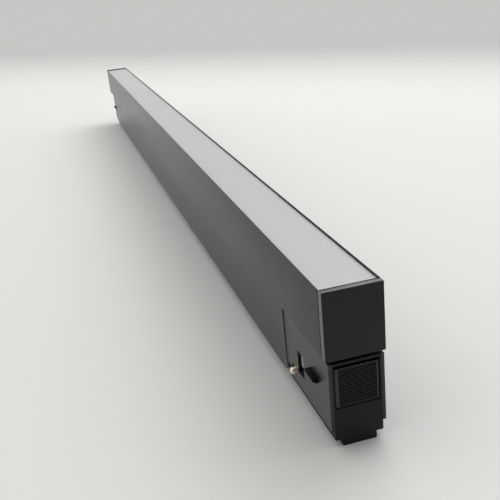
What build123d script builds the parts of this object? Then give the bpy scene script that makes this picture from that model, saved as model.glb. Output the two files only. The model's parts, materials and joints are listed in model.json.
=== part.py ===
from build123d import *
import os

# Linear light bar with a plug-in adapter at each end, all sizes in millimetres.
# +X runs along the bar to the feed end, +Y is the rear side, +Z is up.
# The bar stands on the tongues of its adapters, with the diffuser on top.

# ---------------------------------------------------------------- driving dimensions
BAR_LENGTH = 1136.0          # over both end caps
BAR_WIDTH = 36.0
BAR_TOP = 96.0               # top rim, in the frame that the parts are drawn in
HOUSING_HEIGHT = 87.0
WALL = 1.6
RIM_WALL = 0.5               # thin wall beside the diffuser
WEB_TOP = 57.5               # floor of the light chamber
WEB_THICK = 2.0

CAP_THICK = 5.0
CAP_HEIGHT = 42.0
CAP_REBATE = 1.1             # ledge in the cap for the end of the diffuser
PEG_RADIUS = 1.5
PEG_LENGTH = 12.0
PORT_Y = 13.8
PORT_HEIGHTS = (68.0, 83.5)

DIFFUSER_RECESS = 1.5
DIFFUSER_THICK = 2.0
DIFFUSER_SIDE_GAP = 0.2

BOARD_COUNT = 4
BOARD_WIDTH = 20.0
BOARD_THICK = 1.6
LEDS_PER_BOARD = 24
LED_SIZE = (3.5, 2.8, 0.8)

ADAPTER_START = 491.0        # where the housing's side walls are cut away for an adapter
NEAR_END = 568.0             # end face of the adapter at the feed end
FAR_END = 530.0              # end face of the adapter at the other end
CORE_HALF = 14.8
COVER_THICK = 2.0
ADAPTER_TOP = 52.5
COVER_BOTTOM = 9.2
CORE_BOTTOM = 2.8
TONGUE_BOTTOM = -1.8         # the finished parts are raised so that this is at Z = 0
TONGUE_HALF = 10.5
TAIL_LENGTH = 20.0

SLIDE_TRAVEL = 1.8
LUG_TRAVEL = 3.6             # twice the slide's travel, set by the cam's slope
CAM_SLOPE = SLIDE_TRAVEL / LUG_TRAVEL
CAM_GAP = 0.2
WINDOW_HALF = 13.7
WINDOW_Z = (23.4, 50.7)
SLIDE_HALF = 13.2
SLIDE_Z = (23.7, 48.7)
RIB_PITCH = 1.45
RIB_GROOVES = 17
RIB_DEPTH = 0.75
RIB_Y = (-10.9, 12.1)

LUG_LENGTH = 13.0
LUG_Z = (31.4, 35.0)
LUG_REACH = 20.4
LUG_LEAD_IN = 1.8            # slope below the tip
LUG_TAIL = 7.0
LUG_WEDGE_END = 14.0
LUG_FROM_END = 24.5          # middle of a lug, in from the adapter's end face

CONTACT_X = 509.5
CONTACT_Z = 18.0
CONTACT_RADIUS = 2.3
CONTACT_REACH = 20.8
SELECTOR_X = 519.0
SELECTOR_Y = -11.4
SELECTOR_RADIUS = 4.2
JOURNAL_RADIUS = 1.6
JOURNAL_LENGTH = 1.9
SELECTOR_WINDOW = ((514.8, 525.2), (19.5, 35.0))
SELECTOR_Z = (19.9, 34.6)
DRUM_Z = (24.6, 32.0)
SPACER_RADIUS = 2.3

SCREW_RADIUS = 1.45
PILOT_RADIUS = 1.5
CLEARANCE = 0.3

# ---------------------------------------------------------------- worked-out dimensions
HALF_LENGTH = BAR_LENGTH / 2
HALF_WIDTH = BAR_WIDTH / 2
HOUSING_END = HALF_LENGTH - CAP_THICK
HOUSING_BOTTOM = BAR_TOP - HOUSING_HEIGHT
CAP_BOTTOM = BAR_TOP - CAP_HEIGHT
WEB_BOTTOM = WEB_TOP - WEB_THICK
INNER_HALF = HALF_WIDTH - WALL
RIM_HALF = HALF_WIDTH - RIM_WALL
DIFFUSER_TOP = BAR_TOP - DIFFUSER_RECESS
DIFFUSER_BOTTOM = DIFFUSER_TOP - DIFFUSER_THICK
DIFFUSER_END = HOUSING_END + CAP_REBATE - DIFFUSER_SIDE_GAP
COVER_OUTER = CORE_HALF + COVER_THICK
BOARD_TOP = WEB_TOP + BOARD_THICK
BOARD_PITCH = 280.0
BOARD_LENGTH = BOARD_PITCH - 1.0
LED_PITCH = BOARD_LENGTH / LEDS_PER_BOARD
SCREW_STEPS = (4, 20)        # board screws sit between these LEDs and the next

TRAY_Z = (10.2, 12.2)
DRIVER_X = (190.0, 430.0)
DRIVER_HALF = 14.0
DRIVER_LID_Z = 34.0
TERMINAL_X = (440.0, 458.0)
LEAD_YS = (-6.0, 0.0, 6.0)
LEAD_Z = 18.0
LEAD_RADIUS = 1.1
GROMMET_X = 4.5
GROMMET_Y = 13.75


# ---------------------------------------------------------------- small helpers
def block(x, y, z):
    """A box from three (low, high) spans."""
    size = [span[1] - span[0] for span in (x, y, z)]
    centre = [(span[0] + span[1]) / 2 for span in (x, y, z)]
    return Pos(*centre) * Box(*size)


def both(half):
    return (-half, half)


def rod_x(radius, x, y, z):
    middle = (x[0] + x[1]) / 2
    return Pos(middle, y, z) * Rot(0, 90, 0) * Cylinder(radius, x[1] - x[0])


def rod_y(radius, x, y, z):
    middle = (y[0] + y[1]) / 2
    return Pos(x, middle, z) * Rot(90, 0, 0) * Cylinder(radius, y[1] - y[0])


def rod_z(radius, x, y, z):
    middle = (z[0] + z[1]) / 2
    return Pos(x, y, middle) * Cylinder(radius, z[1] - z[0])


def rect(y, z):
    """A rectangle of the bar's cross-section, from two (low, high) spans."""
    return Pos((y[0] + y[1]) / 2, (z[0] + z[1]) / 2) * Rectangle(y[1] - y[0], z[1] - z[0])


def along_x(section, x):
    """Extrude a cross-section drawn in Y and Z."""
    return extrude(Plane.YZ.offset(x[0]) * section, amount=x[1] - x[0], dir=(1, 0, 0))


def side_span(side, low, high):
    """A Y span on the rear side, or its mirror image on the front side."""
    return (low, high) if side > 0 else (-high, -low)


def to_far(shape):
    return mirror(shape, about=Plane.YZ)


def group(solids):
    return Compound(children=list(solids))


def countersunk_screw(length, head_radius=2.8, head_height=1.6, radius=SCREW_RADIUS):
    """A flat-head screw that points down from Z = 0, with a hexagon socket."""
    head = Pos(0, 0, -head_height / 2) * Cone(radius, head_radius, head_height)
    shank = rod_z(radius, 0, 0, (-length, -head_height))
    socket = extrude(Plane.XY * RegularPolygon(1.15, 6), amount=-1.0)
    return head + shank - socket


def pan_screw(length, head_radius=2.8, head_height=1.9, radius=SCREW_RADIUS):
    """A round-head screw whose shank points down from Z = 0, with a hexagon socket."""
    head = rod_z(head_radius, 0, 0, (0, head_height))
    head = fillet(head.edges().sort_by(Axis.Z)[-1], 0.6)
    shank = rod_z(radius, 0, 0, (-length, 0))
    socket = Pos(0, 0, head_height) * extrude(Plane.XY * RegularPolygon(1.15, 6), amount=-1.0)
    return head + shank - socket


def coil_spring(length, mean_radius, wire_radius, turns):
    """A compression spring along +Z from Z = 0, its wire inside the stated length."""
    rise = length - 2 * wire_radius
    path = Pos(0, 0, wire_radius) * Helix(rise / turns, rise, mean_radius)
    profile = Plane(origin=path @ 0, z_dir=path % 0) * Circle(wire_radius)
    return sweep(profile, path=path, is_frenet=True)


def save(name, shape):
    """Write a part, raised so that the tongues stand on Z = 0."""
    raised = [Pos(0, 0, -TONGUE_BOTTOM) * solid for solid in shape.solids()]
    export_step(raised[0] if len(raised) == 1 else group(raised), f"parts/{name}.step")


# ---------------------------------------------------------------- the extruded housing
def housing_section():
    """The profile: a light chamber over a gear chamber, with a web between them."""
    section = rect(both(HALF_WIDTH), (HOUSING_BOTTOM, BAR_TOP))
    section -= rect(both(INNER_HALF), (WEB_TOP, BAR_TOP))
    section -= rect(both(RIM_HALF), (DIFFUSER_BOTTOM, BAR_TOP))
    section -= rect(both(INNER_HALF), (HOUSING_BOTTOM, WEB_BOTTOM))
    for side in (-1, 1):
        section += rect(side_span(side, 15.7, INNER_HALF), (89.0, 90.0))
        section += rect(side_span(side, 10.3, 11.1), (WEB_TOP, 58.7))
        section += rect(side_span(side, 15.0, INNER_HALF), (12.3, 13.5))
        section += rect(side_span(side, 15.0, INNER_HALF), (HOUSING_BOTTOM, 10.1))
        for height in PORT_HEIGHTS:
            port = Pos(side * PORT_Y, height)
            section += port * Circle(2.9)
            section -= port * Circle(PEG_RADIUS + 0.05)
            section -= rect(side_span(side, 10.5, PORT_Y), (height - 0.7, height + 0.7))
    return section


def board_starts():
    first = -BOARD_COUNT * BOARD_PITCH / 2
    return [first + i * BOARD_PITCH + (BOARD_PITCH - BOARD_LENGTH) / 2 for i in range(BOARD_COUNT)]


def board_screw_places():
    return [start + step * LED_PITCH for start in board_starts() for step in SCREW_STEPS]


ADAPTER_SCREW_XS = (499.0, 552.0, -499.0, -518.0)


def make_housing():
    body = along_x(housing_section(), both(HOUSING_END))
    notch = block((ADAPTER_START, HALF_LENGTH), both(HALF_WIDTH + 1), (0, CAP_BOTTOM))
    body = body - notch - to_far(notch)
    for x in board_screw_places():
        body -= rod_z(PILOT_RADIUS, x, 0, (WEB_BOTTOM - 1, WEB_TOP + 1))
    for x in ADAPTER_SCREW_XS:
        body -= rod_z(PILOT_RADIUS, x, 0, (WEB_BOTTOM - 1, WEB_TOP + 1))
        body -= Pos(x, 0, WEB_TOP - 0.8) * Cone(PILOT_RADIUS, 2.85, 1.6)
    body -= rod_z(2.2, GROMMET_X, GROMMET_Y, (WEB_BOTTOM - 1, WEB_TOP + 1))
    return body


def make_diffuser():
    """An opal strip with two legs that snap under the hooks of the housing."""
    section = rect(both(RIM_HALF - DIFFUSER_SIDE_GAP), (DIFFUSER_BOTTOM, DIFFUSER_TOP))
    strip = along_x(section, both(DIFFUSER_END))
    for side in (-1, 1):
        leg = rect(side_span(side, 14.4, 15.4), (87.9, DIFFUSER_BOTTOM))
        leg += rect(side_span(side, 15.3, 16.0), (87.9, 88.7))
        strip += along_x(leg, both(HOUSING_END - 0.5))
    return strip


def make_end_cap():
    """The cap of the feed end: a plate with four pegs for the ports of the profile."""
    plate = block((HOUSING_END, HALF_LENGTH), both(HALF_WIDTH), (CAP_BOTTOM, BAR_TOP))
    plate = fillet(plate.faces().sort_by(Axis.X)[-1].edges(), 0.35)
    rebate_x = (HOUSING_END - 1, HOUSING_END + CAP_REBATE)
    plate -= block(rebate_x, both(RIM_HALF), (DIFFUSER_BOTTOM - 0.1, BAR_TOP + 1))
    for side in (-1, 1):
        for height in PORT_HEIGHTS:
            peg = rod_x(PEG_RADIUS, (HOUSING_END - PEG_LENGTH, HOUSING_END), side * PORT_Y, height)
            plate += chamfer(peg.edges().sort_by(Axis.X)[0], 0.4)
    return plate


# ---------------------------------------------------------------- light source
def make_board(start):
    board = block((start, start + BOARD_LENGTH), both(BOARD_WIDTH / 2), (WEB_TOP, BOARD_TOP))
    for step in SCREW_STEPS:
        board -= rod_z(1.7, start + step * LED_PITCH, 0, (WEB_TOP - 1, BOARD_TOP + 1))
    return board


def make_led_packages():
    length, width, height = LED_SIZE
    packages = []
    for start in board_starts():
        for i in range(LEDS_PER_BOARD):
            x = start + (i + 0.5) * LED_PITCH
            packages.append(block((x - length / 2, x + length / 2), both(width / 2),
                                  (BOARD_TOP, BOARD_TOP + height)))
    return group(packages)


def make_board_connectors():
    connectors = []
    for start in board_starts():
        for x in (start + 1.5, start + BOARD_LENGTH - 6.5):
            body = block((x, x + 5), (4.0, 8.4), (BOARD_TOP, BOARD_TOP + 3.2))
            for entry in (0.85, 2.55):
                body -= rod_y(0.75, x + entry + 0.8, (6.0, 9.0), BOARD_TOP + 1.6)
            connectors.append(body)
    return group(connectors)


def make_board_links():
    """Jumpers that carry the supply from one board's connector to the next."""
    links = []
    for start in board_starts()[1:]:
        middle = start - (BOARD_PITCH - BOARD_LENGTH) / 2
        for y in (4.6, 6.6):
            links.append(block((middle - 2.0, middle + 2.0), (y, y + 1.2),
                               (BOARD_TOP + 0.4, BOARD_TOP + 1.6)))
    return group(links)


def make_board_screws():
    screw = pan_screw(BOARD_THICK + 3.5)
    return group(Pos(x, 0, BOARD_TOP) * screw for x in board_screw_places())


# ---------------------------------------------------------------- control gear
DRIVER_SCREW_PLACES = [(x, y) for x in (198.0, 422.0) for y in (-9.5, 9.5)]


def make_gear_tray():
    """The cover that slides into the bottom grooves of the housing and carries the gear."""
    tray = block(both(ADAPTER_START - 0.2), both(INNER_HALF - 0.1), TRAY_Z)
    for x, y in DRIVER_SCREW_PLACES:
        tray -= rod_z(PILOT_RADIUS, x, y, (TRAY_Z[0] - 1, TRAY_Z[1] + 1))
    return tray


def make_driver_case():
    floor = TRAY_Z[1]
    case = block(DRIVER_X, both(DRIVER_HALF), (floor, DRIVER_LID_Z))
    case -= block((DRIVER_X[0] + 1.5, DRIVER_X[1] - 1.5), both(DRIVER_HALF - 1.5), (floor + 1.5, 40))
    for side in (-1, 1):
        case += block((210, 410), side_span(side, 8.5, 10.5), (floor + 1.5, floor + 3.5))
    for x, y in DRIVER_SCREW_PLACES:
        case += rod_z(3.0, x, y, (floor + 1.0, floor + 3.5))
        case -= rod_z(PILOT_RADIUS, x, y, (floor - 1, floor + 3.2))
    for y in LEAD_YS:
        case -= rod_x(LEAD_RADIUS + 0.15, (DRIVER_X[1] - 3, DRIVER_X[1] + 1), y, LEAD_Z + 3.5)
    for y in (-3.0, 3.0):
        case -= rod_x(0.9, (DRIVER_X[0] - 1, DRIVER_X[0] + 3), y, LEAD_Z + 3.5)
    return case


def make_driver_lid():
    lid = block(DRIVER_X, both(DRIVER_HALF), (DRIVER_LID_Z, DRIVER_LID_Z + 1.5))
    rim = block((DRIVER_X[0] + 1.7, DRIVER_X[1] - 1.7), both(DRIVER_HALF - 1.7),
                (DRIVER_LID_Z - 1.5, DRIVER_LID_Z))
    rim -= block((DRIVER_X[0] + 3.2, DRIVER_X[1] - 3.2), both(DRIVER_HALF - 3.2),
                 (DRIVER_LID_Z - 2, DRIVER_LID_Z))
    return lid + rim


DRIVER_BOARD_Z = (TRAY_Z[1] + 3.5, TRAY_Z[1] + 5.1)


def make_driver_board():
    return block((DRIVER_X[0] + 2, DRIVER_X[1] - 2), both(DRIVER_HALF - 2), DRIVER_BOARD_Z)


def make_driver_transformer():
    """A ferrite core around a bobbin, standing on the driver's board."""
    base = DRIVER_BOARD_Z[1]
    core = block((298, 322), both(9.0), (base, base + 14))
    core -= block((297, 323), both(5.5), (base + 3, base + 11))
    bobbin = block((300, 320), both(5.0), (base + 3.2, base + 10.8))
    bobbin = fillet(bobbin.edges().filter_by(Axis.X), 1.5)
    feet = block((304, 316), both(3.0), (base, base + 3.4))
    core -= block((303.8, 316.2), both(3.2), (base - 1, base + 3.1))
    return group([core, bobbin + feet])


def make_driver_capacitors():
    base = DRIVER_BOARD_Z[1]
    cans = []
    for x, radius, height in ((252, 6.0, 14.0), (270, 5.0, 13.0), (346, 5.0, 13.0), (370, 4.0, 11.0)):
        can = rod_z(radius, x, 0, (base, base + height))
        cans.append(fillet(can.edges().sort_by(Axis.Z)[-1], 0.6))
    return group(cans)


def make_driver_terminals():
    """Push-in terminals at the supply end and at the output end of the driver."""
    base = DRIVER_BOARD_Z[1]
    supply = block((DRIVER_X[1] - 15, DRIVER_X[1] - 3), both(9.5), (base, base + 9))
    for y in LEAD_YS:
        supply -= rod_x(LEAD_RADIUS + 0.15, (DRIVER_X[1] - 9, DRIVER_X[1] - 2), y, LEAD_Z + 3.5)
    output = block((DRIVER_X[0] + 3, DRIVER_X[0] + 15), both(6.5), (base, base + 9))
    for y in (-3.0, 3.0):
        output -= rod_x(0.9, (DRIVER_X[0] + 2, DRIVER_X[0] + 9), y, LEAD_Z + 3.5)
    return group([supply, output])


def make_driver_screws():
    screw = Rot(180, 0, 0) * pan_screw(5.0, head_height=1.5)
    return group(Pos(x, y, TRAY_Z[0]) * screw for x, y in DRIVER_SCREW_PLACES)


def make_mains_terminal():
    """A three-pole terminal block on the gear tray, beside the feed adapter."""
    terminal = block(TERMINAL_X, both(9.5), (TRAY_Z[1], TRAY_Z[1] + 14))
    for y in LEAD_YS:
        for x in (TERMINAL_X[0] + 4.5, TERMINAL_X[1] - 4.5):
            terminal -= rod_z(1.6, x, y, (TRAY_Z[1] + 11.5, TRAY_Z[1] + 15))
        terminal -= rod_x(LEAD_RADIUS + 0.15, (TERMINAL_X[1] - 6, TERMINAL_X[1] + 1), y, LEAD_Z)
        terminal -= rod_x(LEAD_RADIUS + 0.15, (TERMINAL_X[0] - 1, TERMINAL_X[0] + 6), y, LEAD_Z + 3.5)
    return terminal


def make_contact_leads():
    """Leads from the two sprung contacts and the earth strip to the terminal block."""
    return group(rod_x(LEAD_RADIUS, (TERMINAL_X[1] - 5.5, CONTACT_X - 2.7), y, LEAD_Z) for y in LEAD_YS)


def make_mains_leads():
    """Leads from the terminal block to the driver."""
    x = (DRIVER_X[1] - 8.5, TERMINAL_X[0] + 5.5)
    return group(rod_x(LEAD_RADIUS, x, y, LEAD_Z + 3.5) for y in LEAD_YS)


def make_output_leads():
    """Two leads from the driver, up through the grommet, to the middle connector."""
    run_z = LEAD_Z + 3.5
    top_z = BOARD_TOP + 1.6
    leads = []
    for y, x in ((-3.0, GROMMET_X - 0.85), (3.0, GROMMET_X + 0.85)):
        corner_x = GROMMET_X + 24 + (x - GROMMET_X) * 2
        points = [
            (DRIVER_X[0] + 8.5, y, run_z),
            (corner_x, y, run_z),
            (x, GROMMET_Y, run_z + 15),
            (x, GROMMET_Y, top_z),
            (x, 6.5, top_z),
        ]
        path = FilletPolyline(*points, radius=(9.0, 7.0, 1.9))
        profile = Plane(origin=path @ 0, z_dir=path % 0) * Circle(0.65)
        leads.append(sweep(profile, path=path))
    return group(leads)


def make_grommet():
    ring = rod_z(2.55, GROMMET_X, GROMMET_Y, (WEB_BOTTOM - 1.0, WEB_TOP + 1.0))
    groove = rod_z(3.0, GROMMET_X, GROMMET_Y, (WEB_BOTTOM, WEB_TOP))
    ring -= groove - rod_z(2.15, GROMMET_X, GROMMET_Y, (WEB_BOTTOM, WEB_TOP))
    return ring - rod_z(1.6, GROMMET_X, GROMMET_Y, (WEB_BOTTOM - 2, WEB_TOP + 2))


# ---------------------------------------------------------------- release slide and lugs
def cam_height(y):
    """Height of the lug's sloped underside at distance y from the middle."""
    return LUG_Z[0] - (LUG_WEDGE_END - y) * CAM_SLOPE


def make_slide(end):
    """Ribbed thumb slide, with a stem whose V-shaped top draws both lugs in as it rises."""
    front = end - 0.5
    plate = block((end - 6.9, front), both(SLIDE_HALF), SLIDE_Z)
    plate = fillet(plate.faces().sort_by(Axis.X)[-1].edges(), 0.25)
    first = SLIDE_Z[1] - 1.35
    for i in range(RIB_GROOVES):
        z = first - i * RIB_PITCH
        groove = Plane.XZ * Polygon((front + 0.2, z + 0.62), (front - RIB_DEPTH, z + 0.12),
                                    (front - RIB_DEPTH, z - 0.12), (front + 0.2, z - 0.62), align=None)
        plate -= extrude(Pos(0, RIB_Y[0], 0) * groove, amount=RIB_Y[1] - RIB_Y[0], dir=(0, 1, 0))
    half = LUG_WEDGE_END - LUG_TRAVEL - 0.1
    inner = LUG_TAIL - LUG_TRAVEL
    outline = [(-half, 22.0), (half, 22.0), (half, cam_height(half) - CAM_GAP),
               (inner, cam_height(inner) - CAM_GAP), (-inner, cam_height(inner) - CAM_GAP),
               (-half, cam_height(half) - CAM_GAP)]
    stem = along_x(Polygon(*outline, align=None), (end - 32.0, end - 6.0))
    stem -= block((end - 6.9, end), both(20), (0, SLIDE_Z[0]))
    slide = plate + stem
    for y in (-9.0, 9.0):
        slide -= rod_z(1.95, end - 4.4, y, (38.0, 60.0))
    return slide


def make_lug(end, side):
    """Locking lug with a sloped lead-in below its tip and the cam wedge below its tail."""
    x = (end - LUG_FROM_END - LUG_LENGTH / 2, end - LUG_FROM_END + LUG_LENGTH / 2)
    outline = [(LUG_TAIL, LUG_Z[1]), (LUG_REACH - 0.4, LUG_Z[1]), (LUG_REACH, LUG_Z[1] - 0.4),
               (LUG_REACH, LUG_Z[0] + LUG_LEAD_IN), (LUG_REACH - LUG_LEAD_IN, LUG_Z[0]),
               (LUG_WEDGE_END, LUG_Z[0]), (LUG_TAIL, cam_height(LUG_TAIL))]
    if side < 0:
        outline = [(-y, z) for y, z in reversed(outline)]
    return along_x(Polygon(*outline, align=None), x)


def make_release_springs(end):
    spring = coil_spring(12.7, 1.45, 0.22, 8)
    return group(Pos(end - 4.4, y, 38.0) * spring for y in (-9.0, 9.0))


def make_lug_spring(end):
    spring = coil_spring(2 * LUG_TAIL, 1.5, 0.25, 8)
    height = (LUG_Z[0] + LUG_Z[1]) / 2
    return Pos(end - LUG_FROM_END, -LUG_TAIL, height) * Rot(-90, 0, 0) * spring


# ---------------------------------------------------------------- adapter bodies
def adapter_core(end, pads):
    """Moulded core: body, tongue, tail for the housing, and the slide and lug channels."""
    core = block((ADAPTER_START, end), both(CORE_HALF), (CORE_BOTTOM, ADAPTER_TOP))
    tongue = block((ADAPTER_START, end), both(TONGUE_HALF), (TONGUE_BOTTOM, CORE_BOTTOM))
    tongue = chamfer(tongue.edges().filter_by(Axis.X).sort_by(Axis.Z)[:2], 0.6)
    core += tongue
    tail_x = (ADAPTER_START - TAIL_LENGTH, ADAPTER_START)
    core += block(tail_x, both(INNER_HALF - 0.2), (13.7, WEB_BOTTOM))
    for pad in pads:
        core += block(pad, both(CORE_HALF), (ADAPTER_TOP, WEB_BOTTOM))
    core -= block((tail_x[0] - 1, ADAPTER_START + 2), both(12.0), (15.2, 48.0))
    core -= block((end - 9.2, end + 1), both(WINDOW_HALF), WINDOW_Z)
    core -= block((end - 32.3, end - 6.5), both(10.7), (21.6, 31.5))
    lug_x = (end - LUG_FROM_END - LUG_LENGTH / 2 - CLEARANCE, end - LUG_FROM_END + LUG_LENGTH / 2 + CLEARANCE)
    core -= block(lug_x, both(CORE_HALF + 1), (26.2, LUG_Z[1] + CLEARANCE))
    return core


def adapter_cover(end, side):
    """Side cover with the window that its lug comes out of."""
    outer = side_span(side, CORE_HALF, COVER_OUTER)
    cover = block((ADAPTER_START + 0.1, end), outer, (COVER_BOTTOM, ADAPTER_TOP))
    outer_face = cover.faces().sort_by(Axis.Y)[-1 if side > 0 else 0]
    cover = fillet(outer_face.edges(), 0.3)
    lug_x = (end - LUG_FROM_END - LUG_LENGTH / 2 - CLEARANCE, end - LUG_FROM_END + LUG_LENGTH / 2 + CLEARANCE)
    cover -= block(lug_x, both(20), (LUG_Z[0] - CLEARANCE, LUG_Z[1] + CLEARANCE))
    nub_x = end - 33.5
    cover += block((nub_x - 0.9, nub_x + 0.9), outer, (COVER_BOTTOM - 0.8, COVER_BOTTOM + 0.4))
    return cover


def cover_screw_holes(part, places, outer_y, inner_y):
    for x, z in places:
        part -= rod_y(1.25, x, (inner_y, outer_y + 1), z)
        part -= Pos(x, outer_y - 0.6, z) * Rot(-90, 0, 0) * Cone(1.25, 2.35, 1.2)
    return part


def make_cover_screws(places):
    screw = Rot(-90, 0, 0) * countersunk_screw(9.0, head_radius=2.3, head_height=1.2, radius=1.2)
    return group(Pos(x, COVER_OUTER, z) * screw for x, z in places)


def make_fixing_screws():
    """Flat-head screws that hold both adapters up against the web."""
    screw = countersunk_screw(10.0)
    return group(Pos(x, 0, WEB_TOP) * screw for x in ADAPTER_SCREW_XS)


NEAR_PADS = ((493.0, 506.0), (544.0, 558.0))
FAR_PADS = ((493.0, 506.0), (515.5, 529.0))
NEAR_COVER_SCREWS = ((495.5, 46.0), (553.0, 42.0), (530.0, 14.0))
FAR_COVER_SCREWS = ((495.5, 46.0), (515.0, 42.0), (503.0, 14.0))


def make_near_core():
    """The feed end's core also holds the sprung contacts and the circuit selector."""
    core = adapter_core(NEAR_END, NEAR_PADS)
    for x in ADAPTER_SCREW_XS[:2]:
        core -= rod_z(PILOT_RADIUS, x, 0, (47.0, 60.0))
    for side in (-1, 1):
        core -= rod_y(2.45, CONTACT_X, side_span(side, 4.0, 12.0), CONTACT_Z)
        core -= rod_y(3.15, CONTACT_X, side_span(side, 11.2, 16.0), CONTACT_Z)
    for y in LEAD_YS:
        core -= rod_x(LEAD_RADIUS + 0.15, (ADAPTER_START - 1, CONTACT_X - 2.5), y, LEAD_Z)
    chamber_z = (SELECTOR_Z[0] - CLEARANCE, SELECTOR_Z[1] + CLEARANCE)
    journal_z = (chamber_z[0] - JOURNAL_LENGTH, chamber_z[1] + JOURNAL_LENGTH)
    bearing = JOURNAL_RADIUS + 0.05
    core -= rod_z(SELECTOR_RADIUS + CLEARANCE, SELECTOR_X, SELECTOR_Y, chamber_z)
    core -= block(SELECTOR_WINDOW[0], (-16.0, -12.5), chamber_z)
    core -= rod_z(bearing, SELECTOR_X, SELECTOR_Y, journal_z)
    core -= block((SELECTOR_X - bearing, SELECTOR_X + bearing), (-16.0, SELECTOR_Y), journal_z)
    for slot in SIDE_SLOTS:
        core -= block(slot[0], (-16.0, -12.0), slot[1])
    core -= block((497.0, 513.0), (TONGUE_HALF - 0.5, TONGUE_HALF + 1), (TONGUE_BOTTOM + 0.9, CORE_BOTTOM))
    return cover_screw_holes(core, NEAR_COVER_SCREWS, COVER_OUTER, 7.5)


SIDE_SLOTS = (((493.5, 499.0), (12.3, 15.3)), ((501.3, 505.6), (15.6, 19.0)))


def make_near_front_cover():
    cover = adapter_cover(NEAR_END, -1)
    cover -= block(SELECTOR_WINDOW[0], both(20), SELECTOR_WINDOW[1])
    cover -= rod_y(CONTACT_RADIUS + 0.1, CONTACT_X, both(20), CONTACT_Z)
    for slot in SIDE_SLOTS:
        cover -= block(slot[0], both(20), slot[1])
    return cover


def make_near_rear_cover():
    cover = adapter_cover(NEAR_END, 1)
    cover -= rod_y(CONTACT_RADIUS + 0.1, CONTACT_X, both(20), CONTACT_Z)
    return cover_screw_holes(cover, NEAR_COVER_SCREWS, COVER_OUTER, 7.5)


def make_far_core():
    core = adapter_core(FAR_END, FAR_PADS)
    for x in ADAPTER_SCREW_XS[2:]:
        core -= rod_z(PILOT_RADIUS, -x, 0, (47.0, 60.0))
    return cover_screw_holes(core, FAR_COVER_SCREWS, COVER_OUTER, 7.5)


# ---------------------------------------------------------------- contacts and selector
def make_contact(side):
    """A round-headed brass plunger with a collar that stops behind the cover."""
    pin = rod_y(CONTACT_RADIUS, CONTACT_X, side_span(side, 13.2, CONTACT_REACH), CONTACT_Z)
    tip = pin.edges().sort_by(Axis.Y)[-1 if side > 0 else 0]
    pin = fillet(tip, 1.9)
    pin += rod_y(3.0, CONTACT_X, side_span(side, 13.2, 14.6), CONTACT_Z)
    pin += rod_y(1.0, CONTACT_X, side_span(side, 9.0, 13.4), CONTACT_Z)
    return pin


def make_contact_spring(side):
    spring = coil_spring(9.2, 1.7, 0.25, 6)
    start = Pos(CONTACT_X, side * 4.0, CONTACT_Z)
    return start * Rot(-90 * side, 0, 0) * spring


def selector_at(angle):
    return Pos(SELECTOR_X, SELECTOR_Y, 0) * Rot(0, 0, angle)


CONTACT_ANGLE = -51.0        # direction of the selector's contact, from +X towards the front


def make_selector():
    """A fluted drum on a spindle, turned with a fingertip through its window."""
    drum = rod_z(SELECTOR_RADIUS, SELECTOR_X, SELECTOR_Y, DRUM_Z)
    drum = fillet(drum.edges().filter_by(GeomType.CIRCLE), 0.4)
    for angle in (-150.0, -122.0, -94.0, -20.0, 20.0):
        drum -= selector_at(angle) * rod_z(0.8, SELECTOR_RADIUS + 0.2, 0, (17.0, 38.0))
    drum += rod_z(SPACER_RADIUS, SELECTOR_X, SELECTOR_Y, SELECTOR_Z)
    drum -= selector_at(CONTACT_ANGLE) * block((1.9, 6.0), both(1.05), (22.9, 26.7))
    journal_z = (SELECTOR_Z[0] - JOURNAL_LENGTH, SELECTOR_Z[1] + JOURNAL_LENGTH)
    drum += rod_z(JOURNAL_RADIUS, SELECTOR_X, SELECTOR_Y, journal_z)
    return drum


def make_selector_contact():
    blade = block((2.0, 4.2), both(0.95), (23.0, 26.6))
    blade = fillet(blade.edges().filter_by(Axis.Y).sort_by(Axis.X)[-2:], 0.5)
    return selector_at(CONTACT_ANGLE) * blade


def make_earth_strip():
    """A spring strip set in the rear side of the tongue."""
    strip = block((497.3, 512.7), (TONGUE_HALF - 0.45, TONGUE_HALF - 0.05),
                  (TONGUE_BOTTOM + 1.2, CORE_BOTTOM - 0.2))
    dimple = block((502.0, 508.0), (TONGUE_HALF - 0.2, TONGUE_HALF + 0.7),
                   (TONGUE_BOTTOM + 1.6, CORE_BOTTOM - 0.6))
    dimple = fillet(dimple.edges().filter_by(Axis.Z).sort_by(Axis.Y)[-2:], 0.7)
    return strip + dimple


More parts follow.
